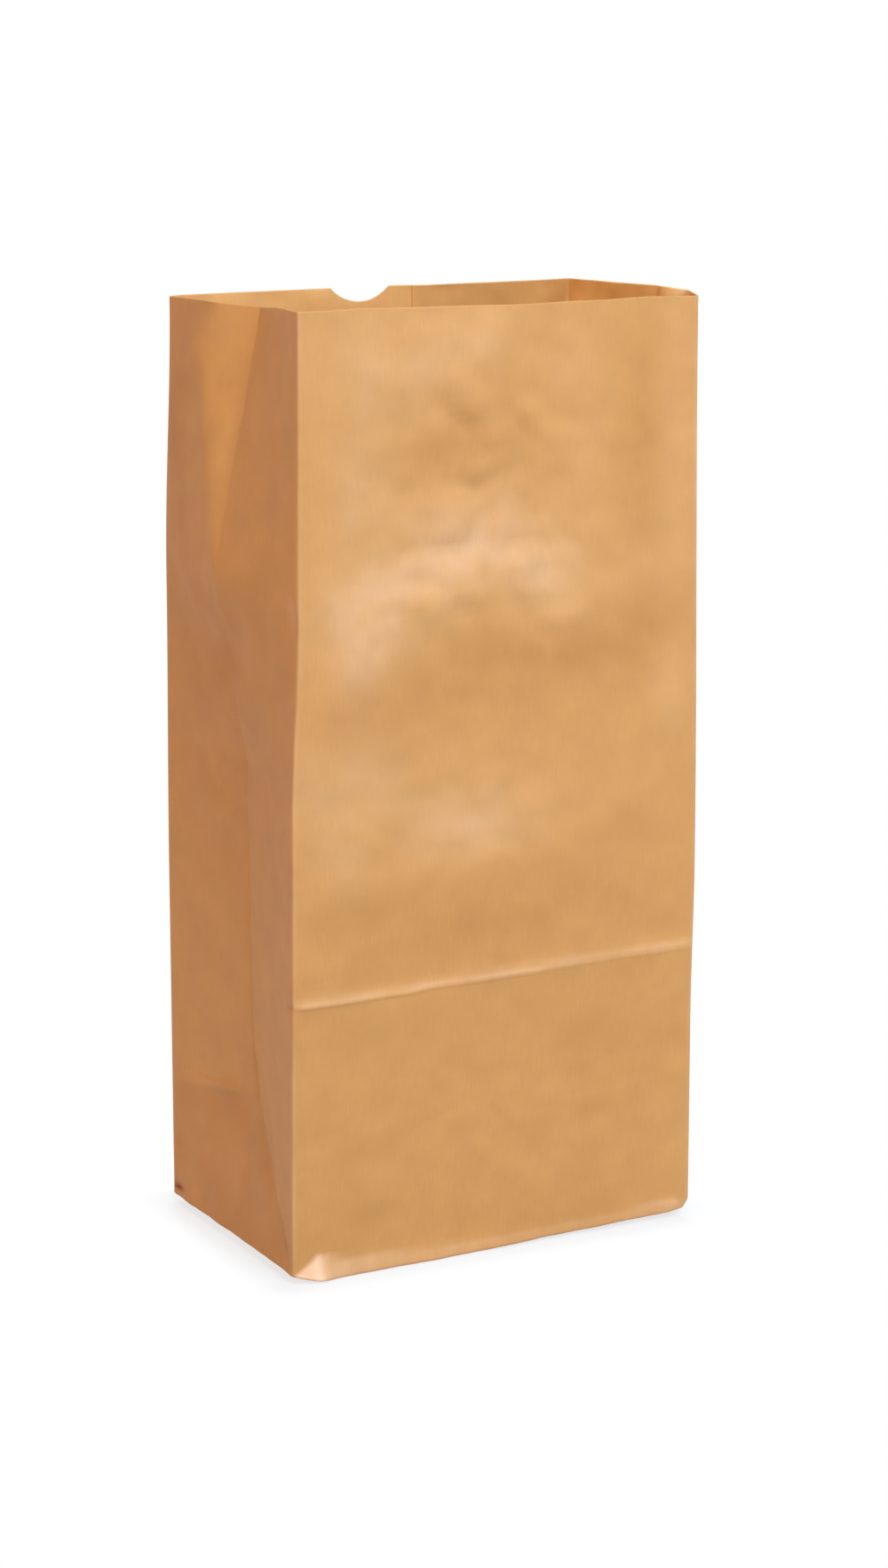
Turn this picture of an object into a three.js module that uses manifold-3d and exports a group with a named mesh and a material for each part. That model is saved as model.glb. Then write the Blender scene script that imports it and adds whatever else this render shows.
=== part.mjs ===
// A brown paper lunch bag standing open: one sheet, glued into a tube with creased sides,
// whose lower end is folded into a flat base.
// Millimetres, +Z up. The front panel faces -Y, and the base rests on Z = 0, centred on the origin.
import * as THREE from 'three';
import { mergeVertices } from 'three/addons/utils/BufferGeometryUtils.js';
import Module from 'manifold-3d';

// The paper
const PAPER = 0.1; // thickness of one layer
const KRAFT = 0xcf9a5f;
const ROUGHNESS = 0.9;

// The bag, to the middle of its paper
const WIDTH = 130; // front and back panels
const DEPTH = 82.5; // side panels
const HEIGHT = 272;

// How far each corner of the mouth has moved from over its base corner: to the right, to the back
const MOUTH_SHIFT = {
  frontLeft: [2.7, -3.0],
  frontRight: [1.5, 4.0],
  backRight: [2.1, -2.1],
  backLeft: [1.3, -2.4],
};

// The middle crease of each side panel, as height and how far it lies inward
const VERTEX_IN_LEFT = 9.4; // where the crease meets the two base diagonals
const VERTEX_IN_RIGHT = 3;
const LEFT_CREASE = [
  [112, 6.6],
  [139, 6.4],
  [200, -4],
];
const LEFT_MOUTH_IN = 9.3;
const RIGHT_CREASE = [
  [122, 2],
  [192, -2],
];
const RIGHT_MOUTH_IN = -7.8;

// Over the left crease's last knot, only a strip beside the crease turns in,
// and the rest of the back half stays flat
const LEFT_STRIP_SLOPE = 0.45; // how far the strip turns in for each millimetre towards the crease
const LEFT_FLAT_IN = 1; // where the flat part, carried on to the middle at the mouth, would lie

// The ridge across the front panel, left by the folded base
const RIDGE_HEIGHT = 82;
const RIDGE_OUT = 1.1; // how far the ridge line stands out of the panel
const RIDGE_BAND = 3; // the steep strip just above the ridge line
const RIDGE_BAND_OUT = 0.4; // what is left of the ridge at the top of the strip
const RIDGE_UNDER = 1.5; // the strip just under the ridge line
const RIDGE_UNDER_OUT = 0.7;
const RIDGE_SPREAD = 30; // above and below, the panel is back in its plane
const RIDGE_END = 4; // the ridge fades out over this length at both edges

// The rolled lower edges, as height and how far the wall has drawn in
const FRONT_ROLL = [
  [0, 2.4],
  [1.5, 0.8],
  [4, 0],
];
const OTHER_ROLL = [
  [0, 0.6],
  [1.5, 0],
];

// The base: what is left of the tube under the base line is folded in on all four sides
const BASE_FLAP = 54;

// The glued lap along the back panel
const LAP_WIDTH = 14;
const LAP_RIGHT = 12.5; // its left edge, right of the middle as seen from the front

// The thumb notch in the back panel
const NOTCH_WIDTH = 19;
const NOTCH_DEPTH = 4.2;
const NOTCH_LEFT = 4; // its middle, left of the panel's middle as seen from the front

// Fineness of the net of points
const HALF_SIDE_STEPS = 6;
const PANEL_STEPS = 8;
const ROW_STEP = 30;
const LEAST_ROW_STEP = 0.3; // rows closer than this are one row
const STEP_GAP = 0.02; // between the two columns of points at a cut edge of the lap
const LAP_CLEAR = 2; // other columns stay this far from the lap
const NOTCH_SIDES = 96; // sides of the whole circle that the notch is cut from
const SAME_POINT = 1e-4; // points closer than this are one point

const wasm = await Module();
wasm.setup();

// The value at x on straight lines between (x, value) pairs
function along(pairs, x) {
  if (x <= pairs[0][0]) return pairs[0][1];
  for (let i = 1; i < pairs.length; i += 1) {
    const [x0, v0] = pairs[i - 1];
    const [x1, v1] = pairs[i];
    if (x <= x1) return v0 + ((v1 - v0) * (x - x0)) / (x1 - x0);
  }
  return pairs.at(-1)[1];
}

function mix(a, b, t) {
  return a.clone().lerp(b, t);
}

// A corner edge of the bag at height z
function corner(name, sideX, sideY, z) {
  const roll = sideY < 0 ? FRONT_ROLL : OTHER_ROLL;
  const x = sideX * (WIDTH / 2 - along(OTHER_ROLL, z));
  const y = sideY * (DEPTH / 2 - along(roll, z));
  const [right, back] = MOUTH_SHIFT[name];
  const lean = z / HEIGHT;
  return new THREE.Vector2(x + right * lean, y + back * lean);
}

function cornersAt(z) {
  return {
    frontLeft: corner('frontLeft', -1, -1, z),
    frontRight: corner('frontRight', 1, -1, z),
    backRight: corner('backRight', 1, 1, z),
    backLeft: corner('backLeft', -1, 1, z),
  };
}

// How far the front panel stands out at height z
function ridge(z) {
  const pairs = [
    [RIDGE_HEIGHT - RIDGE_SPREAD, 0],
    [RIDGE_HEIGHT - RIDGE_UNDER, RIDGE_UNDER_OUT],
    [RIDGE_HEIGHT, RIDGE_OUT],
    [RIDGE_HEIGHT + RIDGE_BAND, RIDGE_BAND_OUT],
    [RIDGE_HEIGHT + RIDGE_SPREAD, 0],
  ];
  return along(pairs, z);
}

// How far a side panel lies inward, t of the way across it at height z.
// Under the vertex the folds run down both diagonals to the base corners.
function sideIn(crease, mouthIn, vertexIn, t, z) {
  const across = 1 - Math.abs(2 * t - 1);
  const vertexHeight = DEPTH / 2;
  if (z < vertexHeight) return vertexIn * Math.min(across, z / vertexHeight);
  return across * along([[vertexHeight, vertexIn], ...crease, [HEIGHT, mouthIn]], z);
}

// The left side: its back half folds a second time, beside the crease
function leftIn(t, z) {
  const plain = sideIn(LEFT_CREASE, LEFT_MOUTH_IN, VERTEX_IN_LEFT, t, z);
  const [waist, waistIn] = LEFT_CREASE.at(-1);
  if (t >= 0.5 || z <= waist) return plain;
  const crease = sideIn(LEFT_CREASE, LEFT_MOUTH_IN, VERTEX_IN_LEFT, 0.5, z);
  const flat = 2 * t * along([[waist, waistIn], [HEIGHT, LEFT_FLAT_IN]], z);
  return Math.max(flat, crease - LEFT_STRIP_SLOPE * (0.5 - t) * DEPTH);
}

// Columns of the net, round the bag from the front left corner, as a panel and a place across it
function columns() {
  const list = [];
  const endPlace = RIDGE_END / WIDTH;
  list.push({ panel: 'front', t: 0 }, { panel: 'front', t: endPlace });
  for (let i = 1; i < PANEL_STEPS; i += 1) list.push({ panel: 'front', t: i / PANEL_STEPS });
  list.push({ panel: 'front', t: 1 - endPlace });
  list.push(...sideColumns('right'), ...backColumns(), ...sideColumns('left'));
  return list;
}

function sideColumns(panel) {
  const steps = 2 * HALF_SIDE_STEPS;
  return Array.from({ length: steps }, (_, i) => ({ panel, t: i / steps }));
}

// The back panel runs from right to left, with two close columns at each edge of the lap.
// The paper from the left side ends outside, at the lap's right edge,
// and the paper from the right ends inside it.
function backColumns() {
  const leftEdge = 0.5 - LAP_RIGHT / WIDTH;
  const rightEdge = leftEdge - LAP_WIDTH / WIDTH;
  const gap = STEP_GAP / WIDTH;
  const lap = [
    { panel: 'back', t: rightEdge - gap },
    { panel: 'back', t: rightEdge, layerOut: PAPER },
    { panel: 'back', t: leftEdge, layerIn: PAPER },
    { panel: 'back', t: leftEdge + gap },
  ];
  const clear = LAP_CLEAR / WIDTH;
  const plain = [];
  for (let i = 0; i < PANEL_STEPS; i += 1) {
    const t = i / PANEL_STEPS;
    if (t < rightEdge - clear || t > leftEdge + clear) plain.push({ panel: 'back', t });
  }
  return [...plain, ...lap].sort((a, b) => a.t - b.t);
}

// The middle of the paper at one column and height
function middle({ panel, t }, z) {
  const at = cornersAt(z);
  if (panel === 'front') {
    const point = mix(at.frontLeft, at.frontRight, t);
    const fade = Math.min(1, (Math.min(t, 1 - t) * WIDTH) / RIDGE_END);
    point.y -= ridge(z) * fade;
    return point;
  }
  if (panel === 'back') return mix(at.backRight, at.backLeft, t);
  if (panel === 'right') {
    const point = mix(at.frontRight, at.backRight, t);
    point.x -= sideIn(RIGHT_CREASE, RIGHT_MOUTH_IN, VERTEX_IN_RIGHT, t, z);
    return point;
  }
  const point = mix(at.backLeft, at.frontLeft, t);
  point.x += leftIn(t, z);
  return point;
}

// Rows of the net, from the base to the mouth
function rowHeights() {
  const wanted = [0, HEIGHT, RIDGE_HEIGHT, RIDGE_HEIGHT + RIDGE_BAND, RIDGE_HEIGHT - RIDGE_UNDER];
  wanted.push(RIDGE_HEIGHT - RIDGE_SPREAD, RIDGE_HEIGHT + RIDGE_SPREAD);
  for (const [z] of [...FRONT_ROLL, ...OTHER_ROLL, ...LEFT_CREASE, ...RIGHT_CREASE]) wanted.push(z);
  for (let i = 1; i <= HALF_SIDE_STEPS; i += 1) wanted.push((DEPTH / 2 / HALF_SIDE_STEPS) * i);
  const sorted = wanted.filter((z) => z <= HEIGHT).sort((a, b) => a - b);
  const rows = [sorted[0]];
  for (const z of sorted.slice(1)) {
    const from = rows.at(-1);
    const fill = Math.floor((z - from) / ROW_STEP);
    for (let i = 1; i <= fill; i += 1) rows.push(from + ((z - from) * i) / (fill + 1));
    if (z - from > LEAST_ROW_STEP) rows.push(z);
  }
  return rows;
}

// Both faces of the paper at one row: each point moves square to the two edges that meet in it
function facesOfRow(net, z) {
  const points = net.map((column) => middle(column, z));
  const count = points.length;
  const square = points.map((point, i) => {
    const edge = points[(i + 1) % count].clone().sub(point).normalize();
    return new THREE.Vector2(edge.y, -edge.x);
  });
  return points.map((point, i) => {
    const before = square[(i + count - 1) % count];
    const after = square[i];
    const out = before.clone().add(after).divideScalar(1 + before.dot(after));
    const { layerOut = 0, layerIn = 0 } = net[i];
    return {
      outer: out.clone().multiplyScalar(PAPER / 2 + layerOut).add(point),
      inner: out.clone().multiplyScalar(-PAPER / 2 - layerIn).add(point),
    };
  });
}

function solidOf(geometry) {
  const bare = new THREE.BufferGeometry();
  bare.setAttribute('position', geometry.getAttribute('position'));
  if (geometry.index) bare.setIndex(geometry.index);
  const merged = mergeVertices(bare, SAME_POINT);
  const vertProperties = new Float32Array(merged.getAttribute('position').array);
  const triVerts = new Uint32Array(merged.index.array);
  return new wasm.Manifold(new wasm.Mesh({ numProp: 3, vertProperties, triVerts }));
}

// The four walls as one tube of paper, open at both ends
function walls() {
  const net = columns();
  const rows = rowHeights();
  const count = net.length;
  const positions = [];
  for (const z of rows) {
    const faces = facesOfRow(net, z);
    for (const { outer } of faces) positions.push(outer.x, outer.y, z);
    for (const { inner } of faces) positions.push(inner.x, inner.y, z);
  }
  const index = [];
  const quad = (a, b, c, d) => index.push(a, b, c, a, c, d);
  const outerAt = (row, i) => row * 2 * count + (i % count);
  const innerAt = (row, i) => outerAt(row, i) + count;
  for (let row = 0; row + 1 < rows.length; row += 1) {
    for (let i = 0; i < count; i += 1) {
      const side = net[i].panel === 'right' || net[i].panel === 'left';
      const falls = side && net[i].t >= 0.5;
      for (const [at, flip] of [[outerAt, false], [innerAt, true]]) {
        const loop = [at(row, i), at(row, i + 1), at(row + 1, i + 1), at(row + 1, i)];
        if (falls) loop.push(loop.shift());
        if (flip) quad(loop[0], loop[3], loop[2], loop[1]);
        else quad(...loop);
      }
    }
  }
  const top = rows.length - 1;
  for (let i = 0; i < count; i += 1) {
    quad(outerAt(top, i), outerAt(top, i + 1), innerAt(top, i + 1), innerAt(top, i));
    quad(outerAt(0, i + 1), outerAt(0, i), innerAt(0, i), innerAt(0, i + 1));
  }
  const geometry = new THREE.BufferGeometry();
  geometry.setAttribute('position', new THREE.Float32BufferAttribute(positions, 3));
  geometry.setIndex(index);
  return solidOf(geometry);
}

function plate(points, bottom, top) {
  const shape = new THREE.Shape(points.map(([x, y]) => new THREE.Vector2(x, y)));
  const geometry = new THREE.ExtrudeGeometry(shape, { depth: top - bottom, bevelEnabled: false });
  geometry.translate(0, 0, bottom);
  return solidOf(geometry);
}

// A flap between two diagonal folds, from one edge of the base.
// The folds meet in a point if the flap is long enough.
function diagonalFlap(halfWidth, edge, inward) {
  const reach = Math.min(BASE_FLAP, halfWidth);
  const halfEnd = halfWidth - reach;
  const points = [[-halfWidth, edge], [halfWidth, edge], [halfEnd, edge + inward * reach]];
  if (halfEnd > 0) points.push([-halfEnd, edge + inward * reach]);
  return points;
}

// The folded base, glued flat: the front flap lies outermost, then the back flap, then the two side flaps
function base() {
  const { frontLeft, backRight } = cornersAt(0);
  const right = backRight.x;
  const front = frontLeft.y;
  const back = backRight.y;
  const tip = right - BASE_FLAP;
  const whole = [[-right, front], [right, front], [right, back], [-right, back]];
  const leftFlap = [[-right, front], [-tip, front], [-tip, back], [-right, back]];
  const rightFlap = [[tip, front], [right, front], [right, back], [tip, back]];
  return plate(whole, 2 * PAPER, 3 * PAPER)
    .add(plate(diagonalFlap(right, front, 1), 0, 2 * PAPER))
    .add(plate(diagonalFlap(right, back, -1), PAPER, 2 * PAPER))
    .add(plate(leftFlap, 3 * PAPER, 4 * PAPER))
    .add(plate(rightFlap, 3 * PAPER, 4 * PAPER));
}

// What the thumb notch takes out of the back panel
function notch() {
  const radius = (NOTCH_WIDTH ** 2 / 4 + NOTCH_DEPTH ** 2) / (2 * NOTCH_DEPTH);
  const cut = new THREE.CylinderGeometry(radius, radius, DEPTH / 2, NOTCH_SIDES);
  const middleX = (MOUTH_SHIFT.backLeft[0] + MOUTH_SHIFT.backRight[0]) / 2;
  cut.translate(middleX - NOTCH_LEFT, DEPTH / 2, HEIGHT + radius - NOTCH_DEPTH);
  return solidOf(cut);
}

function meshOf(solid, name) {
  const { vertProperties, triVerts } = solid.getMesh();
  const geometry = new THREE.BufferGeometry();
  geometry.setAttribute('position', new THREE.Float32BufferAttribute(vertProperties, 3));
  geometry.setIndex([...triVerts]);
  geometry.computeVertexNormals();
  const material = new THREE.MeshStandardMaterial({ color: KRAFT, roughness: ROUGHNESS, metalness: 0 });
  material.name = 'kraft_paper';
  const mesh = new THREE.Mesh(geometry, material);
  mesh.name = name;
  return mesh;
}

const bag = new THREE.Group();
bag.name = 'lunch_bag';
bag.add(meshOf(walls().add(base()).subtract(notch()), 'paper_bag'));

export default bag;
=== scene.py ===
"""A brown paper lunch bag standing open: one sheet of kraft paper, glued into a tube with a folded base.

The shape is worked out in millimetres and becomes metres when the mesh is made. The front panel faces -Y.
Heights are measured up the paper from the base line, which stands BASE_LIFT over the floor at the corners.
"""
import math
from collections import namedtuple

import bpy
import numpy as np
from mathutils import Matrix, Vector, noise

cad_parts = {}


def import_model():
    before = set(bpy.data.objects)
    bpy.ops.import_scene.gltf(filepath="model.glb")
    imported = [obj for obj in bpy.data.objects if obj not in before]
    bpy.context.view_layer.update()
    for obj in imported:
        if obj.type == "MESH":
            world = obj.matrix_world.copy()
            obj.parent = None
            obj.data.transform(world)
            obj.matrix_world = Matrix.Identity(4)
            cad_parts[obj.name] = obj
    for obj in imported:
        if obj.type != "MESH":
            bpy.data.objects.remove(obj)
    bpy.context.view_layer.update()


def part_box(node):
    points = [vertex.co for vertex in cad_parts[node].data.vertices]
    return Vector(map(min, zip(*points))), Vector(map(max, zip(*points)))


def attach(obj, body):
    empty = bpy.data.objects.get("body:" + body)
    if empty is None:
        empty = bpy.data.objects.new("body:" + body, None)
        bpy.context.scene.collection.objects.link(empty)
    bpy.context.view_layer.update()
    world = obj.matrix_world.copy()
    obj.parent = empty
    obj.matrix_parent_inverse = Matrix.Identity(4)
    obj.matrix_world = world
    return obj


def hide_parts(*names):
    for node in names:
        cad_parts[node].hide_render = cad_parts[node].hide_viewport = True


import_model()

MM = 0.001

# A panel has columns at places across its width, from its start corner edge to its end corner edge
Panel = namedtuple("Panel", "name side width places start end inward")
# A pattern of noise in the paper
Pattern = namedtuple("Pattern", "scale detail stretch amount")

# The bag, to the middle of its paper
WIDTH = 130.0
DEPTH = 82.5
HALF_DEPTH = DEPTH / 2
PAPER = 0.11
SIDES = ("back", "left", "front", "right")
BASE_LIFT = 1.9  # how far the base's corners stand off the floor
HEIGHT = round(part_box("paper_bag")[1][2] / MM - BASE_LIFT, 1)

# The corner edges: height, and how far the edge stands right and back of the base's true corner
EDGES = {
    "front_left": ((0, 0, 0), (130, 0.5, -1.4), (188, 2.6, -2), (270, 2.7, -2.9)),
    "front_right": ((-3, -2.2, 1.4), (3, 0.3, 0), (60, 0.7, 0.8), (105, 1.8, 1.5), (270, 1.6, 3.9)),
    "back_right": ((0, 0, 0), (270, 2.1, -2.1)),
    "back_left": ((0, -0.6, 0.6), (100, -0.8, 0), (190, -0.6, -1.2), (270, 1.3, -2.3)),
}
CORNERS = {"front_left": (-1, -1), "front_right": (1, -1), "back_right": (1, 1), "back_left": (-1, 1)}
EDGE_ROUND = 0.3  # how much of each corner edge is rounded off, and over what width
EDGE_ROUND_WIDTH = 0.7

# The mouth: how far each of its corners stands above or below the bag's height
MOUTH_LIFT = {"front_left": 1.4, "front_right": -0.1, "back_right": -1.0, "back_left": -0.9}
MOUTH_LIFT_FROM = 200.0
# Small waves in its edge: place across the panel, half width, and how far up
RIM_WAVES = {
    "front": ((20, 9, 0.35), (70, 12, -0.35), (112, 8, 0.3)),
    "left": ((43, 12, -1.1),),
    "right": ((12, 9, 0.7),),
}
RIM_REACH = 24.0  # the paper takes up the waves and the notch over this height

# The thumb notch in the back of the mouth
NOTCH_WIDTH = 19.0
NOTCH_DEPTH = 4.2
NOTCH_LEFT = 4.0

# The middle crease of the left side: height, and how far in it lies
LEFT_CREASE = ((41, 9.2), (70, 7.4), (100, 6.6), (138, 6.4), (166, 1.5), (196, -4.4), (270, 9.2))
LEFT_VERTEX_IN = 9.2
# Over the waist the back half of that side stays out, and only a strip beside the crease turns in
LEFT_WAIST = 196.0
LEFT_BACK_LEAN = ((196, -0.107), (226, -0.079), (254, -0.041), (270, 0.05))  # height, and lean inward
LEFT_STRIP_SLOPE = ((196, 0.36), (254, 0.38), (270, 0.62))  # height, and slope inward
STRIP_BEND = 0.45  # how softly the strip bends out of the back half
# The level crease across its back half, over a shallow hollow
LEVEL_CREASE_BACK = 36.5  # height at the back edge
LEVEL_CREASE_MIDDLE = 42.0  # height at the middle
LEVEL_HOLLOW = 3.0
LEVEL_HOLLOW_TOP = 4.0
LEVEL_HOLLOW_REACH = 14.0
LEVEL_HOLLOW_SKEW = 0.6  # below 1, the deepest place lies nearer the middle
# The pressed line along its lower crease and the front diagonal
GROOVE = 0.45
GROOVE_WIDTH = 0.8
GROOVE_FADE = 6.0
DIAGONAL_SLANT = math.sqrt(0.5)  # how far a step across leads away from a diagonal

# The right side folds outward at the mouth
RIGHT_CREASE = ((41, 3.0), (120, 2.0), (190, -2.0), (270, -8.5))
RIGHT_VERTEX_IN = 3.0
RIGHT_HOLLOW_SHARE = 0.5
# Its front half curls out along the mouth
RIGHT_CURL = 2.8
RIGHT_CURL_PLACE = 25.0
RIGHT_CURL_WIDTH = 11.0
RIGHT_CURL_FROM = 264.0

# How softly the base diagonals of both sides bend, and how much more softly at the back
DIAGONAL_BEND = 0.03
BACK_DIAGONAL_BEND = 0.3

# The ridge across the front: a sharp line with a steep strip above it and a thin step below
RIDGE_LINE = ((0, 79.0), (37, 79.2), (40, 79.7), (77, 80.0), (80, 80.4), (130, 80.7))
RIDGE_OUT = 1.3
RIDGE_STRIP = 3.0
RIDGE_STRIP_BEND = 0.8
RIDGE_STEP = 0.4
RIDGE_STEP_HEIGHT = 0.6
RIDGE_TAIL = 18.0
RIDGE_END = 2.5

# The front panel's two soft swells, an arch with a lower swell under it
ARCH = ((0, 170), (12, 173), (52, 195), (94, 183), (130, 189))  # its crest: place across, and height
ARCH_OUT = ((0, 2.4), (58, 2.6), (90, 2.2), (130, 1.4))  # place across, and how far out
ARCH_ABOVE = 16.0  # it falls away over this length above the crest
ARCH_BELOW = 22.0  # and over this length below
SWELL = ((0, 115), (50, 110), (130, 133))
SWELL_OUT = 2.0
SWELL_ABOVE = 26.0
SWELL_BELOW = 18.0
CREST_ROUND = 3.0  # how rounded both crests are
SWELL_END = 16.0  # both end over this width at a corner edge

# Soft dents: place across the panel, height, half width, half height, and how far in
DENTS = {
    "front": (
        (55, 216, 19, 18, 2.3),
        (44, 251, 28, 11, -1.6),
        (119, 232, 8, 38, 1.4),
        (97, 234, 9, 34, -1.2),
        (120, 172, 14, 11, 1.2),
        (28, 22, 9, 6, -0.6),
        (82, 17, 11, 5, -0.6),
        (55, 50, 30, 14, 0.6),
        (105, 60, 22, 16, 0.6),
    ),
    "left": (
        (2, 2.2, 5, 0.9, 1.2),
        (81, 79, 2, 1.2, 0.8),
        (78, 188, 4, 5, 0.7),
    ),
    "right": (
        (22, 150, 16, 26, 0.9),
        (60, 105, 14, 22, -0.8),
        (58, 205, 14, 20, 0.8),
    ),
    "back": (
        (38, 205, 24, 22, 1.4),
        (95, 180, 22, 30, -1.2),
        (60, 120, 34, 16, 1.1),
        (100, 75, 22, 16, 0.9),
    ),
}
DENT_END = 1.0  # dents end so far from a corner edge

# Crumpled patches with crisp creases: place across the panel, height, half width, half height, and depth
CRUMPLES = {
    "front": (
        (56, 225, 34, 34, 3.9),
        (60, 190, 40, 14, 1.9),
        (50, 125, 40, 16, 2.0),
        (66, 45, 48, 20, 1.0),
    ),
    "right": ((30, 170, 24, 30, 1.6),),
    "back": ((45, 200, 34, 30, 1.8),),
}
CRUMPLE_SIZE = 17.0
CRUMPLE_LAYERS = 2
CRUMPLE_MIDDLE = 0.3  # the crumpling's middle level, which lies in the panel
CRUMPLE_LEAST = 0.02  # where a patch is shallower than this, it has no creases

# The small unevenness of all the paper: its depth, its size, and its layers of finer and shallower waves
COCKLE = 0.45
COCKLE_SIZE = 12.0
COCKLE_LAYERS = 3
COCKLE_FINER = 2.0
COCKLE_FALL = 1.0
COCKLE_APART = 7.3  # the sides' unevenness comes from places so far apart in one pattern
COCKLE_END = 6.0  # crumpling, unevenness, rim waves and the back's bends end so far from a corner edge

# The lip along the front's lower edge, by place across the panel
LIP_HEIGHT = ((0, 0), (7, 6.2), (20, 4.2), (50, 3.2), (104, 2.7), (124, 4.6), (130, 1.5))
LIP_SLOPE = ((0, 0.55), (8, 0.5), (14, 0.28), (130, 0.28))  # how steeply it flares out below its height
LIP_BEND = 0.3

# The back panel: a crease where the flat bag's base was folded up, and a curl at the mouth
BACK_CREASE_HEIGHT = 41.0
BACK_CREASE_IN = 1.6
BACK_CREASE_REACH = 22.0
CURL_FROM = 254.0
CURL_LEFT = 1.5  # outward, left of the lap
CURL_RIGHT = -1.3  # inward, right of the lap

# The glued lap down the back, as places right of the middle seen from the front
LAP_INNER_EDGE = 12.5
LAP_OUTER_EDGE = 26.5
LAP_GAP = 0.13
LAP_RAMP = 5.0

# The base: its edges rise BASE_LIFT off the floor, which fades out over these lengths from each side
RISE_LEFT = 15.0
RISE_RIGHT = 80.0
RISE_BACK = 15.0
WALL_SETTLE = 15.0  # over this height the walls take up the base's rise
FOLD_ROUND = 0.8
FOLD_STEPS = 4
BASE_FLAP = 54.0
FLAP_SETTLE = 20.0  # over this length the flaps lose the unevenness of the walls' lower edges
# Heights of the layers of paper in the base, by panel and at the corners
FLAP_LEVEL = {"front": 0.06, "back_outer": 0.20, "back_inner": 0.20, "left": 0.48, "right": 0.48}
CORNER_LEVEL = 0.2
CORNER_LEVEL_WIDTH = 6.0

# Where the paper is painted pale, as shares of the full amount: corner edges (part painted highlight, part
# rubbed), and painted highlights on the ridge, over the arch and on the lip
EDGE_SHEEN_AND_RUB = 0.6
EDGE_SHEEN_AND_RUB_WIDTH = 0.6
RIDGE_SHEEN = 0.62
RIDGE_SHEEN_RISE = RIDGE_STRIP / 3
ARCH_SHEEN = ((0, 0.1), (18, 0.65), (46, 0.65), (72, 0.5), (100, 0.1), (130, 0.05))
ARCH_SHEEN_RISE = 11.0
ARCH_SHEEN_REACH = 16.0
LIP_SHEEN = ((0, 4.4), (8, 4.0), (10, 0.8), (60, 0.35), (110, 0.35), (124, 0.6), (130, 0.4))
# Soft pale patches, painted highlights on the front and left and rubbed wear on the right and back: place
# across the panel, height, half width, half height, and share
SHEEN_AND_RUB_PATCHES = {
    "front": (
        (32, 255, 26, 15, 0.35),
        (57, 262, 9, 6, 0.25),
        (20, 210, 12, 34, 0.3),
        (88, 235, 8, 28, 0.15),
        (124, 235, 5, 34, 0.2),
        (121, 158, 6, 12, 0.25),
        (50, 200, 13, 8, 0.45),
        (76, 196, 9, 6, 0.45),
        (18, 142, 20, 14, 0.35),
        (12, 122, 10, 12, 0.3),
        (54, 127, 22, 12, 0.5),
    ),
    "left": ((79, 190, 2, 4, 0.6),),
    "right": (
        (22, 180, 18, 16, 0.25),
        (60, 120, 14, 14, 0.2),
    ),
    "back": (
        (38, 232, 22, 14, 0.25),
        (92, 205, 24, 14, 0.25),
        (58, 140, 34, 12, 0.25),
        (100, 95, 20, 12, 0.2),
    ),
}

# Painted shade, where the paper is darker, as shares of a full darkening
# Painted shade below the sides' base folds, as a share
BASE_FOLD_SHADE = 0.3  # below the base folds of the sides
# Soft patches of painted shade, given as the pale ones are, and of painted light where the share is negative
SHADE_AND_LIGHT_PATCHES = {
    "front": (
        (49, 226, 15, 20, 0.2),
        (109, 228, 7, 36, 0.4),
        (30, 160, 26, 9, 0.4),
        (76, 172, 30, 10, 0.5),
        (108, 175, 14, 12, 0.35),
        (66, 96, 54, 13, 0.3),
        (105, 50, 26, 26, 0.25),
    ),
    "left": (
        (2, 2.2, 4.5, 0.9, 2.2),
        (24, 180, 28, 18, 0.35),
        (44, 145, 60, 55, 0.3),
        (8, 235, 10, 28, 0.5),
        (31, 260, 8, 14, -0.6),
        (37, 232, 4, 22, -0.6),
    ),
}
# Painted light through the paper: how much lighter each side's inner face is, in the same shares
PAINTED_INSIDE_GLOW = {"back": 0.8, "left": 0.8, "front": 0.8, "right": 1.7}

# Fineness of the mesh
STEP = 2.2
FINE_STEP = 0.35
FINE_REACH = 5.0
FLAP_STEP = 6.0
DENSE_COUNT = 4000
FLAP_REACHES = np.append(np.arange(FLAP_STEP, BASE_FLAP, FLAP_STEP), (BASE_FLAP - FINE_STEP, BASE_FLAP))

# The paper, with colours as linear values
KRAFT = (0.56, 0.296, 0.094)
PAPER_ROUGHNESS = 0.6
PAPER_SPECULAR = 0.5
# A full share of painted highlight or rubbing adds this near-white to the colour
SHEEN_AND_RUB_ADDS = (0.1, 0.11, 0.115)  # what a full rub adds to the colour
# A full share of painted shade takes this from the colour
SHADE_TAKES = (0.11, 0.095, 0.045)  # what a full darkening takes from it
# Its noise: waves in a metre of the flat sheet, finer layers, stretch across and up, and amount
UNSTRETCHED = (1, 1, 1)
CLOUDS = Pattern(80, 3, UNSTRETCHED, 0.22)
FIBRES = Pattern(1500, 2, (1, 0.12, 1), 0.10)
GRAIN = Pattern(2600, 1, UNSTRETCHED, 0.08)
# This breaks the painted highlights, rubbing and painted shade into patches
LIGHT_AND_WEAR_PATCHES = Pattern(60, 2, UNSTRETCHED, 2.6)
NOISE_MIDDLE = 0.5
# Its fine relief
RELIEF_GRAIN = 0.6
RELIEF_STRENGTH = 0.35
RELIEF_HEIGHT = 0.06

# The camera, at the photograph's viewing angle
CAMERA_AZIMUTH = -27.48
CAMERA_ELEVATION = 12.71
CAMERA_DISTANCE = 1071.0
CAMERA_AIM = (2.9, -3.2, 128.3 + BASE_LIFT)
SENSOR = 36.0
LENS = 84.42

# The light, in metres and watts
WHITE = (1.0, 1.0, 1.0)
WARM = (1.0, 0.4, 0.12)
LAMP_AIM = (0, 0, 0.13)
LAMP_DISTANCE = 1.6
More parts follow.
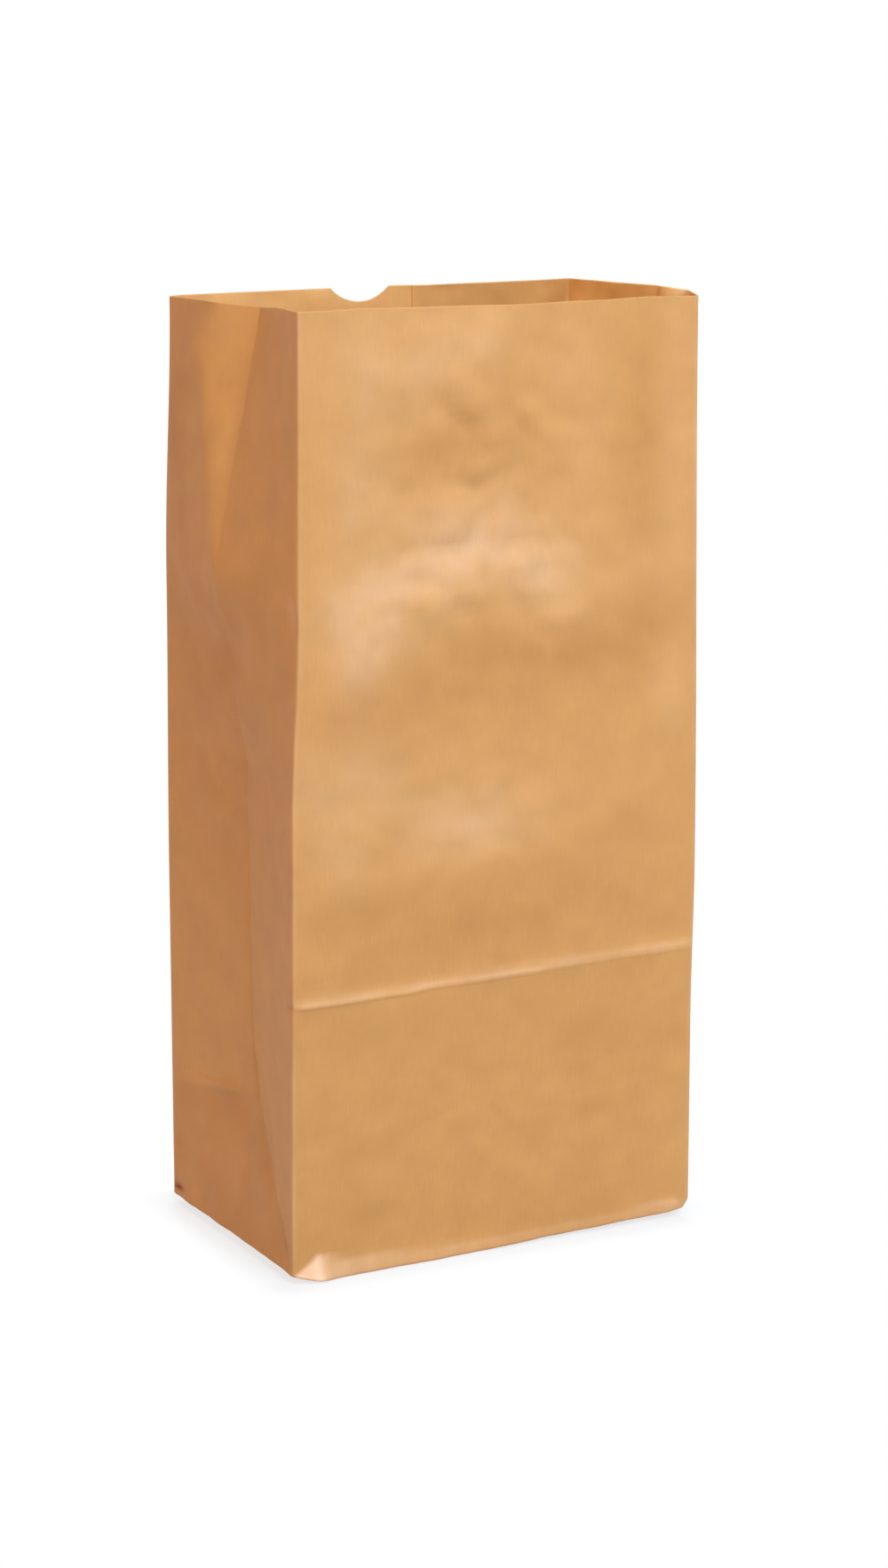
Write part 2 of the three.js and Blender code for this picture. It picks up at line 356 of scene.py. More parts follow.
# Each lamp's name, azimuth, elevation, width and height, power and colour
LAMPS = (
    ("key", -8, 50, (0.8, 0.8), 17.6, WHITE),
    ("left", -86, 30, (0.8, 0.8), 7.6, WARM),
    ("sheen", 28, 14, (0.5, 0.7), 7.5, WHITE),
    ("back", 150, 40, (0.8, 0.8), 17.0, WHITE),
    ("top", 0, 89, (0.6, 0.6), 5.0, WHITE),
)
EVEN_LIGHT = 0.08
EVEN_COLOUR = (1.0, 0.82, 0.7)

# The floor, in metres
FLOOR_HALF = 3.0
FLOOR_GREY = (0.7, 0.7, 0.7)
# Near the base's outline a share of this grey-blue diffuse shows the real shadow and, being below white, adds
# a painted contact shadow
SHADOW_GREY = (0.68, 0.78, 0.9)
FLOOR_SHADOW = 0.26
SHADOW_REACH = 0.013


def eased(knots, x, part=1):
    """The value at x on smooth steps between knots, whose first number is x and whose part is the value."""
    x = np.asarray(x, float)
    value = np.full(x.shape, float(knots[0][part]))
    for low, high in zip(knots, knots[1:]):
        share = np.clip((x - low[0]) / (high[0] - low[0]), 0, 1)
        value += (high[part] - low[part]) * share * share * (3 - 2 * share)
    return value


def straight(knots, x):
    """The value at x on straight lines between knots."""
    return np.interp(x, [knot[0] for knot in knots], [knot[1] for knot in knots])


def soft_max(a, b, softness):
    """The larger of two values, with the bend between them rounded."""
    return 0.5 * (a + b + np.sqrt((a - b) ** 2 + softness**2))


def soft_min(a, b, softness):
    """The smaller of two values, with the bend between them rounded."""
    return -soft_max(-a, -b, softness)


def bell(x, reach):
    """1 at 0, falling away smoothly on both sides."""
    return np.exp(-((x / reach) ** 2))


def fade(distance, reach):
    """1 at no distance, falling to 0 at the reach."""
    return np.clip(1 - distance / reach, 0, 1)


def hump(share):
    """0 at a share of 0 and of 1, and 1 halfway."""
    return 4 * share * (1 - share)


def near_mouth(height, start):
    """0 up to the start, rising ever faster to 1 at the mouth."""
    return np.clip((height - start) / (HEIGHT - start), 0, 1) ** 2


def graded(*stops):
    """Places from the first stop to the last, with one on each stop, and closer together near the stops."""
    places = [np.array(stops[:1])]
    for low, high in zip(stops, stops[1:]):
        dense = np.linspace(low, high, DENSE_COUNT)
        step = STEP - (STEP - FINE_STEP) * fade(np.minimum(dense - low, high - dense), FINE_REACH)
        count = np.concatenate([[0], np.cumsum(np.diff(dense) * (1 / step[:-1] + 1 / step[1:]) / 2)])
        places.append(np.interp(np.linspace(0, count[-1], math.ceil(count[-1]) + 1), count, dense)[1:])
    return np.concatenate(places)


def panels():
    """The panels in their order round the sheet, from the lap's outer edge to its inner edge."""
    middle = WIDTH / 2
    notch_middle = middle + NOTCH_LEFT
    notch = (notch_middle - NOTCH_WIDTH / 2, notch_middle, notch_middle + NOTCH_WIDTH / 2)
    back_outer = graded(middle - LAP_OUTER_EDGE, *notch, WIDTH)
    back_inner = graded(0, middle - LAP_INNER_EDGE)
    front = graded(0, WIDTH)
    gusset = graded(0, HALF_DEPTH, DEPTH)
    return [
        Panel("back_outer", "back", WIDTH, back_outer, "back_right", "back_left", (0, -1)),
        Panel("left", "left", DEPTH, gusset, "back_left", "front_left", (1, 0)),
        Panel("front", "front", WIDTH, front, "front_left", "front_right", (0, 1)),
        Panel("right", "right", DEPTH, gusset, "front_right", "back_right", (-1, 0)),
        Panel("back_inner", "back", WIDTH, back_inner, "back_right", "back_left", (0, -1)),
    ]


def corner_edge(name, height):
    """Plan place of a corner edge at each height."""
    x = eased(EDGES[name], height, 1) + CORNERS[name][0] * (WIDTH / 2 - EDGE_ROUND)
    y = eased(EDGES[name], height, 2) + CORNERS[name][1] * (HALF_DEPTH - EDGE_ROUND)
    return np.stack([x, y], axis=-1)


def from_corner(panel):
    """How far each column is from the nearer corner edge of its panel."""
    return np.minimum(panel.places, panel.width - panel.places)


def off_corner(panel, reach):
    """0 at the panel's corner edges, rising to 1 at the reach from them."""
    return np.clip(from_corner(panel) / reach, 0, 1)


def front_distance(panel):
    """How far each column of a left or right panel is from its front edge."""
    if panel.side == "left":
        return DEPTH - panel.places
    return panel.places


def behind_middle(from_front):
    """0 in the front half of a side, rising to 1 at its back edge."""
    return np.clip(from_front / HALF_DEPTH - 1, 0, 1)


def base_pyramid(vertex_in, from_front, height):
    """How far in a side lies under its vertex, where folds run down both diagonals to the base corners."""
    across = np.minimum(from_front, DEPTH - from_front) / HALF_DEPTH
    bend = DIAGONAL_BEND + BACK_DIAGONAL_BEND * hump(behind_middle(from_front))
    return vertex_in * soft_min(across, height / HALF_DEPTH, bend)


def groove(from_front, height):
    """The pressed line up the front diagonal from the base corner and on up the crease to the waist."""
    slant = np.where(height < HALF_DEPTH, DIAGONAL_SLANT, 1)
    away = slant * (from_front - np.minimum(height, HALF_DEPTH))
    ends = np.clip(height / GROOVE_FADE, 0, 1) * fade(height - HALF_DEPTH, LEFT_WAIST - HALF_DEPTH)
    return GROOVE * bell(away, GROOVE_WIDTH) * ends


def level_crease(from_front):
    """Height of the level crease, which falls from a side's middle to its back edge."""
    return LEVEL_CREASE_MIDDLE + (LEVEL_CREASE_BACK - LEVEL_CREASE_MIDDLE) * behind_middle(from_front)


def level_hollow(from_front, height):
    """The shallow hollow under the level crease, which fades out towards the middle of the side."""
    below = np.maximum(level_crease(from_front) - height, 0)
    depth = (1 - np.exp(-below / LEVEL_HOLLOW_TOP)) * np.exp(-below / LEVEL_HOLLOW_REACH)
    return LEVEL_HOLLOW * depth * np.sin(math.pi * behind_middle(from_front) ** LEVEL_HOLLOW_SKEW)


def left_in(from_front, height):
    """How far in the left side lies: an upper fold that closes at the waist, and a lower one to the base."""
    over_waist = height > LEFT_WAIST
    crease = np.where(over_waist, straight(LEFT_CREASE, height), eased(LEFT_CREASE, height))
    lean = np.where(over_waist, eased(LEFT_BACK_LEAN, height), crease / HALF_DEPTH)
    front_half = crease * from_front / HALF_DEPTH
    back_half = lean * (DEPTH - from_front)
    strip = crease - eased(LEFT_STRIP_SLOPE, height) * (from_front - HALF_DEPTH)
    back_half = np.where(over_waist, soft_max(strip, back_half, STRIP_BEND), back_half)
    fold = np.where(from_front < HALF_DEPTH, front_half, back_half)
    fold = np.where(height < HALF_DEPTH, base_pyramid(LEFT_VERTEX_IN, from_front, height), fold)
    return fold + level_hollow(from_front, height) + groove(from_front, height)


def right_in(from_front, height):
    """How far in the right side lies: one fold up its middle, which turns outward towards the mouth."""
    across = 1 - np.abs(from_front - HALF_DEPTH) / HALF_DEPTH
    fold = eased(RIGHT_CREASE, height) * across
    fold = np.where(height < HALF_DEPTH, base_pyramid(RIGHT_VERTEX_IN, from_front, height), fold)
    curl = RIGHT_CURL * bell(from_front - RIGHT_CURL_PLACE, RIGHT_CURL_WIDTH)
    fold = fold - curl * near_mouth(height, RIGHT_CURL_FROM)
    return fold + RIGHT_HOLLOW_SHARE * level_hollow(from_front, height) + groove(from_front, height)


def ridge_out(place, height):
    """How far the ridge stands out of the front."""
    above = height - straight(RIDGE_LINE, place)
    strip = soft_max(RIDGE_STRIP - above, 0, RIDGE_STRIP_BEND) / RIDGE_STRIP
    step = RIDGE_STEP * np.clip(-above / RIDGE_STEP_HEIGHT, 0, 1)
    under = (RIDGE_OUT - step) * np.exp(np.minimum(above, 0) / RIDGE_TAIL)
    ends = np.clip(np.minimum(place, WIDTH - place) / RIDGE_END, 0, 1)
    return np.where(above > 0, RIDGE_OUT * strip, under) * ends


def crest_out(above, length_above, length_below):
    """A rounded crest of height 1 that falls away over one length above it and another below."""
    away = np.sqrt(above**2 + CREST_ROUND**2) - CREST_ROUND
    return np.exp(-away / np.where(above > 0, length_above, length_below))


def front_out(place, height):
    """How far the front stands out: its two swells, the ridge and the lip."""
    ends = eased(((0, 0), (SWELL_END, 1)), np.minimum(place, WIDTH - place))
    arch = eased(ARCH_OUT, place) * crest_out(height - eased(ARCH, place), ARCH_ABOVE, ARCH_BELOW)
    swell = SWELL_OUT * crest_out(height - eased(SWELL, place), SWELL_ABOVE, SWELL_BELOW)
    lip = straight(LIP_SLOPE, place) * soft_max(straight(LIP_HEIGHT, place) - height, 0, LIP_BEND)
    return (arch + swell) * ends + ridge_out(place, height) + lip


def back_out(place, height):
    """How far the back stands out: its low crease, and the curl of the mouth on each side of the lap."""
    crease = BACK_CREASE_IN * bell(height - BACK_CREASE_HEIGHT, BACK_CREASE_REACH)
    lap = WIDTH / 2 - LAP_INNER_EDGE
    curl = eased(((lap - LAP_RAMP, CURL_RIGHT), (lap + LAP_RAMP, CURL_LEFT)), place)
    return curl * near_mouth(height, CURL_FROM) - crease


def patches(panel, height, spots):
    """The sum of a panel's soft patches at each point."""
    total = np.zeros((height.shape[0], len(panel.places)))
    for x, z, half_width, half_height, share in spots.get(panel.side, ()):
        total += share * bell(panel.places - x, half_width) * bell(height - z, half_height)
    return total


def cockle(panel, height):
    """The small unevenness that paper keeps from being handled."""
    place, height = np.broadcast_arrays(panel.places, height)
    apart = COCKLE_APART * SIDES.index(panel.side)
    rough = np.empty(place.shape)
    for index in np.ndindex(place.shape):
        spot = Vector((place[index] / COCKLE_SIZE, height[index] / COCKLE_SIZE, apart))
        rough[index] = noise.fractal(spot, COCKLE_FALL, COCKLE_FINER, COCKLE_LAYERS)
    return COCKLE * rough


def crumple(panel, height):
    """Shallow crumpling, with creases that are crisp on one side of the paper."""
    crisp = True
    depth = patches(panel, height, CRUMPLES)
    place, height = np.broadcast_arrays(panel.places, height)
    for row, column in np.argwhere(depth > CRUMPLE_LEAST):
        spot = Vector((place[row, column], height[row, column], 0)) / CRUMPLE_SIZE
        depth[row, column] *= noise.turbulence(spot, CRUMPLE_LAYERS, crisp) - CRUMPLE_MIDDLE
    return depth


def outward(panel, height):
    """How far each point of a panel stands out of the plane between its corner edges."""
    inland = off_corner(panel, COCKLE_END)
    if panel.side == "left":
        out = -left_in(front_distance(panel), height)
    elif panel.side == "right":
        out = -right_in(front_distance(panel), height)
    elif panel.side == "front":
        out = front_out(panel.places, height)
    else:
        out = back_out(panel.places, height) * inland
    out = out + (cockle(panel, height) + crumple(panel, height)) * inland
    out = out - patches(panel, height, DENTS) * off_corner(panel, DENT_END)
    return out + EDGE_ROUND * (1 - np.exp(-from_corner(panel) / EDGE_ROUND_WIDTH))


def painted_sheen_and_rub(panel, height):
    """How pale the paper is painted at each point: mostly painted highlights, with rubbing on some patches
    and edges.
    """
    place = panel.places
    # Pale patches, and the corner edges, which are part painted highlight and part rubbed
    sheen_and_rub = patches(panel, height, SHEEN_AND_RUB_PATCHES) + EDGE_SHEEN_AND_RUB * np.exp(-from_corner(panel) / EDGE_SHEEN_AND_RUB_WIDTH)
    # On the front: painted highlights on the ridge's upper strip, in a band above the arch's crest, and on
    # the lip
    if panel.name == "front":
        above_ridge = height - straight(RIDGE_LINE, place)
        above_arch = height - eased(ARCH, place)
        below_lip = straight(LIP_HEIGHT, place) - height
        sheen_and_rub = sheen_and_rub + RIDGE_SHEEN * bell(above_ridge - RIDGE_SHEEN_RISE, RIDGE_SHEEN_RISE)
        sheen_and_rub = sheen_and_rub + eased(ARCH_SHEEN, place) * bell(above_arch - ARCH_SHEEN_RISE, ARCH_SHEEN_REACH)
        sheen_and_rub = sheen_and_rub + straight(LIP_SHEEN, place) * np.clip(below_lip, 0, 1)
    if panel.name == "back_outer":
        sheen_and_rub = sheen_and_rub + EDGE_SHEEN_AND_RUB * np.exp(-(place - place[0]) / EDGE_SHEEN_AND_RUB_WIDTH)
    return sheen_and_rub


def below_base_fold(from_front, height):
    """How far each point of a side lies below its front diagonal or the level crease behind it."""
    return np.where(from_front < HALF_DEPTH, from_front, level_crease(from_front)) - height


def painted_shade(panel, height):
    """How much painted shade darkens the paper at each point, with painted light where it is negative. Below
    their base folds the sides get more painted shade.
    """
    painted_dark = patches(panel, height, SHADE_AND_LIGHT_PATCHES)
    if panel.side in ("left", "right"):
        # Painted shade below the base folds
        painted_dark += BASE_FOLD_SHADE * np.clip(below_base_fold(front_distance(panel), height), 0, 1)
    return painted_dark


def panel_light_and_wear(panel, height):
    """The painted highlight and rub, the painted shade, and the inner face's painted glow at each point."""
    sheen_and_rub = painted_sheen_and_rub(panel, height)
    return np.stack([sheen_and_rub, painted_shade(panel, height), np.full_like(sheen_and_rub, PAINTED_INSIDE_GLOW[panel.side])], axis=-1)


def notch_depth(panel):
    """How much lower the mouth is at each column of the notch."""
    if panel.name != "back_outer":
        return np.zeros_like(panel.places)
    radius = (NOTCH_WIDTH**2 / 4 + NOTCH_DEPTH**2) / (2 * NOTCH_DEPTH)
    from_middle = np.clip(panel.places - WIDTH / 2 - NOTCH_LEFT, -NOTCH_WIDTH / 2, NOTCH_WIDTH / 2)
    return NOTCH_DEPTH - radius + np.sqrt(radius**2 - from_middle**2)


def rim_waves(panel):
    """How far the mouth's edge waves up or down at each column."""
    lift = np.zeros_like(panel.places)
    for x, half_width, up in RIM_WAVES.get(panel.name, ()):
        lift += up * bell(panel.places - x, half_width)
    return lift * off_corner(panel, COCKLE_END)


def lap_shift(panel):
    """How far in each column lies to pass under the lap's outer paper."""
    if panel.name != "back_inner":
        return np.zeros_like(panel.places)
    ramp_start = WIDTH / 2 - LAP_OUTER_EDGE - LAP_RAMP
    return LAP_GAP * eased(((0, 0), (LAP_RAMP, 1)), panel.places - ramp_start)


def base_rise(plan):
    """How far the base stands off the floor: its sides and back are up, and its middle and front are down."""
    left = fade(plan[..., 0] + WIDTH / 2, RISE_LEFT) ** 2
    right = fade(WIDTH / 2 - plan[..., 0], RISE_RIGHT)
    back = fade(HALF_DEPTH - plan[..., 1], RISE_BACK) ** 2
    return BASE_LIFT * np.maximum(np.maximum(left, right), back)


def paper_level(panel):
    """Height of the panel's folded-in paper among the base's layers."""
    share = eased(((0, 0), (CORNER_LEVEL_WIDTH, 1)), from_corner(panel))
    return CORNER_LEVEL + (FLAP_LEVEL[panel.name] - CORNER_LEVEL) * share


def wall_points(panel, heights):
    """The panel's wall, from its lower edge to the mouth: heights by columns by 3."""
    height = heights[:, None]
    share = panel.places / panel.width
    start = corner_edge(panel.start, heights)[:, None, :]
    end = corner_edge(panel.end, heights)[:, None, :]
    out = outward(panel, height) - lap_shift(panel)
    plan = start + (end - start) * share[:, None] - np.array(panel.inward) * out[:, :, None]
    low = base_rise(plan[0]) + paper_level(panel) + FOLD_ROUND
    z = height + BASE_LIFT + (low - BASE_LIFT) * fade(height, WALL_SETTLE) ** 2
    lift = MOUTH_LIFT[panel.start] * (1 - share) + MOUTH_LIFT[panel.end] * share
    z = z + lift * eased(((MOUTH_LIFT_FROM, 0), (HEIGHT, 1)), height)
    rim = rim_waves(panel) - notch_depth(panel)
    z = z + rim * eased(((HEIGHT - RIM_REACH, 0), (HEIGHT, 1)), height)
    return np.concatenate([plan, z[:, :, None]], axis=2)


def folded_in(panel, lower_edge, inset, taper):
    """The lower edge's plan moved in by the inset, with both its ends moved along it by the taper."""
    start = corner_edge(panel.start, 0.0)
    end = corner_edge(panel.end, 0.0)
    along = (end - start) / np.linalg.norm(end - start)
    slide = taper * (1 - 2 * panel.places / panel.width)
    return lower_edge + np.array(panel.inward) * inset + along * slide[:, None]


def fold_points(panel, lower_edge):
    """The rounded fold under the wall, from flat on the base up to just under the wall."""
    rows = []
    level = base_rise(lower_edge) + paper_level(panel)
    for step in range(FOLD_STEPS):
        turn = math.pi / 2 * (1 - step / FOLD_STEPS)
        inset = FOLD_ROUND * (1 - math.cos(turn))
        plan = folded_in(panel, lower_edge, inset, inset)
        z = level + FOLD_ROUND * (1 - math.sin(turn)) + lap_shift(panel) * math.sin(turn)
        rows.append(np.concatenate([plan, z[:, None]], axis=1))
    return np.array(rows)


def flap_points(panel, lower_edge):
    """The paper folded in under the base, with diagonal folds for the ends of the front and back flaps."""
    rows = []
    level = FLAP_LEVEL[panel.name] + lap_shift(panel)
    mitred = panel.name not in ("left", "right")
    share = (panel.places / panel.width)[:, None]
    line = corner_edge(panel.start, 0.0) * (1 - share) + corner_edge(panel.end, 0.0) * share
    for reach in FLAP_REACHES:
        taper = FOLD_ROUND + reach * mitred
        edge = line + (lower_edge - line) * fade(reach, FLAP_SETTLE)
        plan = folded_in(panel, edge, FOLD_ROUND + reach, taper)
        z = base_rise(plan) + level
        rows.append(np.concatenate([plan, z[:, None]], axis=1))
    return np.array(rows)


class Sheet:
    """The whole folded sheet as points, their places on the flat sheet, their painted light and wear, and
    quads.

    A point's painted light and wear is its painted highlight and rub, its painted shade, and the painted glow
    of its inner face.
    """

    def __init__(self):
        self.points = []
        self.flat = []
        self.light_and_wear = []
        self.quads = []
        self.count = 0

    def add(self, points, flat, light_and_wear):
        """Adds rows of points and returns their numbers in the same rows."""
        rows, columns = points.shape[:2]
        self.points.append(points.reshape(-1, 3))
        self.flat.append(flat.reshape(-1, 2))
        self.light_and_wear.append(light_and_wear.reshape(-1, 3))
        numbers = self.count + np.arange(rows * columns).reshape(rows, columns)
        self.count += rows * columns
        return numbers

    def fill(self, numbers):
        """Quads between neighbouring rows and columns, which split along the base's diagonal folds."""
        a, b = numbers[:-1, :-1], numbers[:-1, 1:]
        c, d = numbers[1:, 1:], numbers[1:, :-1]
        middle = a.shape[1] // 2
        self.quads.append(np.stack([a, b, c, d], axis=-1)[:, :middle].reshape(-1, 4))
        self.quads.append(np.stack([b, c, d, a], axis=-1)[:, middle:].reshape(-1, 4))


def folded_sheet():
    """The sheet panel by panel: each has a wall with its fold, and a flap under the base."""
    sheet = Sheet()
    heights = graded(0, HALF_DEPTH, RIDGE_LINE[0][1], HEIGHT)
    up = np.concatenate([np.zeros(FOLD_STEPS), heights])
    run = 0.0
    last_column = None
    for panel in panels():
        across = run + panel.places - panel.places[0]
        run = across[-1]

        wall = wall_points(panel, heights)
        lower_edge = wall[0, :, :2]
        body = np.concatenate([fold_points(panel, lower_edge), wall])
        flat = np.stack(np.meshgrid(across, up), axis=-1)
        light_and_wear = panel_light_and_wear(panel, heights[:, None])
        light_and_wear = np.concatenate([np.repeat(light_and_wear[:1], FOLD_STEPS, axis=0), light_and_wear])
        if last_column is None:
            numbers = sheet.add(body, flat, light_and_wear)
        else:
            added = sheet.add(body[:, 1:], flat[:, 1:], light_and_wear[:, 1:])
            numbers = np.concatenate([last_column[:, None], added], axis=1)
        last_column = numbers[:, -1]
        sheet.fill(numbers)

        flap = flap_points(panel, lower_edge)
        flap_flat = np.stack(np.meshgrid(across, -FLAP_REACHES), axis=-1)
        # The flaps carry only the inner faces' painted glow
        flap_light_and_wear = np.zeros_like(flap)
        flap_light_and_wear[..., 2] = PAINTED_INSIDE_GLOW[panel.side]
        flap_numbers = sheet.add(flap, flap_flat, flap_light_and_wear)
        sheet.fill(np.concatenate([flap_numbers[::-1], numbers[:1]]))
    return [np.concatenate(part) for part in (sheet.points, sheet.flat, sheet.light_and_wear, sheet.quads)]


def point_normals(points, quads):
    """The direction that the paper faces at each point."""
    a, b, c, d = (points[quads[:, k]] for k in range(4))
    square = np.cross(c - a, d - b)
    normals = np.zeros_like(points)
    for k in range(4):
        np.add.at(normals, quads[:, k], square)
    return normals / np.linalg.norm(normals, axis=1, keepdims=True)


def cut_edges(quads):
    """The sheet's cut edges, each as two points in their quad's order."""
    sides = np.concatenate([quads[:, [k, (k + 1) % 4]] for k in range(4)])
    _, first, uses = np.unique(np.sort(sides, axis=1), axis=0, return_index=True, return_counts=True)
    return sides[first[uses == 1]]


def paper_mesh():
    """The sheet with both its faces and its cut edges, as one closed mesh."""
    points, flat, light_and_wear, quads = folded_sheet()
    half = point_normals(points, quads) * PAPER / 2
    both = np.concatenate([points + half, points - half]) * MM
    total = len(points)
    cut = cut_edges(quads)
    cut_quads = np.stack([cut[:, 1], cut[:, 0], cut[:, 0] + total, cut[:, 1] + total], axis=1)
    inner_quads = quads[:, [2, 1, 0, 3]] + total
    faces = np.concatenate([quads, inner_quads, cut_quads])
    mesh = bpy.data.meshes.new("paper")
    mesh.from_pydata(both.tolist(), [], faces.tolist())
    mesh.shade_smooth()

    flat_places = mesh.uv_layers.new(name="sheet")
    loops = np.empty(len(mesh.loops), dtype=np.int32)
    mesh.loops.foreach_get("vertex_index", loops)
    flat_places.data.foreach_set("uv", (np.concatenate([flat, flat])[loops] * MM).ravel())

    # The inner face gets no painted highlight or rub, and its painted glow goes in as negative painted shade
    sheen_and_shade = np.concatenate([light_and_wear * (1, 1, 0), light_and_wear[:, 2:] * (0, -1, 0)])
    mesh.attributes.new("light_and_wear", "FLOAT_VECTOR", "POINT").data.foreach_set("vector", sheen_and_shade.ravel())

    sharp = np.zeros(len(faces), dtype=bool)
    sharp[-len(cut_quads):] = True
    mesh.attributes.new("sharp_face", "BOOLEAN", "FACE").data.foreach_set("value", sharp)
    mesh.update()
    return mesh


class Nodes:
    """Short ways to add and join a material's nodes."""

    def __init__(self, tree):
        self.nodes = tree.nodes
        self.links = tree.links

    def put(self, socket, value):
        """Links a socket to another, or writes a value into it."""
        if isinstance(value, bpy.types.NodeSocket):
            self.links.new(value, socket)
        else:
            socket.default_value = value

    def add(self, kind, **inputs):
        """A node with its inputs put in by name, with underscores for spaces."""
        node = self.nodes.new(kind)
        for name, value in inputs.items():
            self.put(node.inputs[name.replace("_", " ")], value)
        return node

    def math(self, operation, a, b):
        """The result of an operation on two numbers."""
        node = self.nodes.new("ShaderNodeMath")
        node.operation = operation
        self.put(node.inputs[0], a)
        self.put(node.inputs[1], b)
        return node.outputs[0]

    def vector(self, operation, a, b=None):
        """The result of an operation on one vector, two vectors, or a vector and a scale."""
        node = self.nodes.new("ShaderNodeVectorMath")
        node.operation = operation
        self.put(node.inputs[0], a)
        if b is not None:
            self.put(node.inputs["Scale" if operation == "SCALE" else 1], b)
        return node.outputs["Value" if operation == "LENGTH" else "Vector"]

    def mix(self, share, first, second):
        """The first shader where the share is 0, and the second where it is 1."""
        node = self.add("ShaderNodeMixShader", Fac=share)
        self.put(node.inputs[1], first)
        self.put(node.inputs[2], second)
        return node.outputs[0]


def seen_white(tree):
    """1 where a ray comes from the camera, a reflection or a clear piece, and 0 where it carries light."""
    path = tree.add("ShaderNodeLightPath").outputs
    mirrored = tree.math("MAXIMUM", path["Is Glossy Ray"], path["Is Transmission Ray"])
    return tree.math("MAXIMUM", path["Is Camera Ray"], mirrored)


def kraft_material():
    """Brown kraft paper: cloudy, with fine fibres along the sheet and a low sheen, and with painted
    highlights, rubbing and painted shade in its colour.
    """
    material = bpy.data.materials.new("kraft_paper")
    material.use_nodes = True
    tree = Nodes(material.node_tree)
    shader = tree.nodes["Principled BSDF"]
    place = tree.add("ShaderNodeUVMap")
    place.uv_map = "sheet"

    def speckle(pattern):
        """The level of a pattern's noise."""
        spot = tree.vector("MULTIPLY", place.outputs[0], pattern.stretch)
        node = tree.add("ShaderNodeTexNoise", Vector=spot, Scale=pattern.scale, Detail=pattern.detail)
        return node.outputs["Fac"]

    def varied(value, level, amount):
        """The value with a noise's ups and downs added."""
        change = tree.math("MULTIPLY", tree.math("SUBTRACT", level, NOISE_MIDDLE), amount)
        return tree.math("ADD", value, change)

    fibres = speckle(FIBRES)
    grain = speckle(GRAIN)
    shade = varied(1.0, speckle(CLOUDS), CLOUDS.amount)
    shade = varied(shade, fibres, FIBRES.amount)
    shade = varied(shade, grain, GRAIN.amount)

    # The mesh's attribute: painted highlight and rub, then painted shade with the inner faces' painted glow
    # as negative shade
    light_and_wear = tree.add("ShaderNodeAttribute")
    light_and_wear.attribute_name = "light_and_wear"
    patchy = varied(1.0, speckle(LIGHT_AND_WEAR_PATCHES), LIGHT_AND_WEAR_PATCHES.amount)
    patchy_light_and_wear = tree.vector("SCALE", light_and_wear.outputs["Vector"], patchy)
    painted_and_worn = tree.add("ShaderNodeSeparateXYZ", Vector=patchy_light_and_wear).outputs
    sheen_and_rub_pale = tree.vector("ADD", KRAFT, tree.vector("SCALE", SHEEN_AND_RUB_ADDS, painted_and_worn["X"]))
    paper = tree.vector("SUBTRACT", sheen_and_rub_pale, tree.vector("SCALE", SHADE_TAKES, painted_and_worn["Y"]))
    tree.put(shader.inputs["Base Color"], tree.vector("SCALE", paper, shade))

    shader.inputs["Roughness"].default_value = PAPER_ROUGHNESS
    shader.inputs["Specular IOR Level"].default_value = PAPER_SPECULAR
    relief = varied(fibres, grain, RELIEF_GRAIN)
    bump = tree.add("ShaderNodeBump", Height=relief, Strength=RELIEF_STRENGTH, Distance=RELIEF_HEIGHT * MM)
    tree.put(shader.inputs["Normal"], bump.outputs[0])
    return material


def bag():
    """The one piece, which stands for the frame's paper bag."""
    piece = bpy.data.objects.new("lunch_bag_paper", paper_mesh())
    bpy.context.scene.collection.objects.link(piece)
    piece.data.materials.append(kraft_material())
    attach(piece, "root")
    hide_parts("paper_bag")


def towards(azimuth, elevation):
    """The direction from the bag to an azimuth right of the front and an elevation, in degrees."""
    turn, rise = math.radians(azimuth), math.radians(elevation)
    return Vector((math.sin(turn) * math.cos(rise), -math.cos(turn) * math.cos(rise), math.sin(rise)))


def camera():
    """The camera, upright and facing its aim."""
    data = bpy.data.cameras.new("camera")
    data.sensor_fit = "VERTICAL"
    data.sensor_height = SENSOR
    data.lens = LENS
    back = towards(CAMERA_AZIMUTH, CAMERA_ELEVATION)
    eye = bpy.data.objects.new("camera", data)
    eye.location = (Vector(CAMERA_AIM) + back * CAMERA_DISTANCE) * MM
    eye.rotation_euler = back.to_track_quat("Z", "Y").to_euler()
    bpy.context.scene.collection.objects.link(eye)
    bpy.context.scene.camera = eye


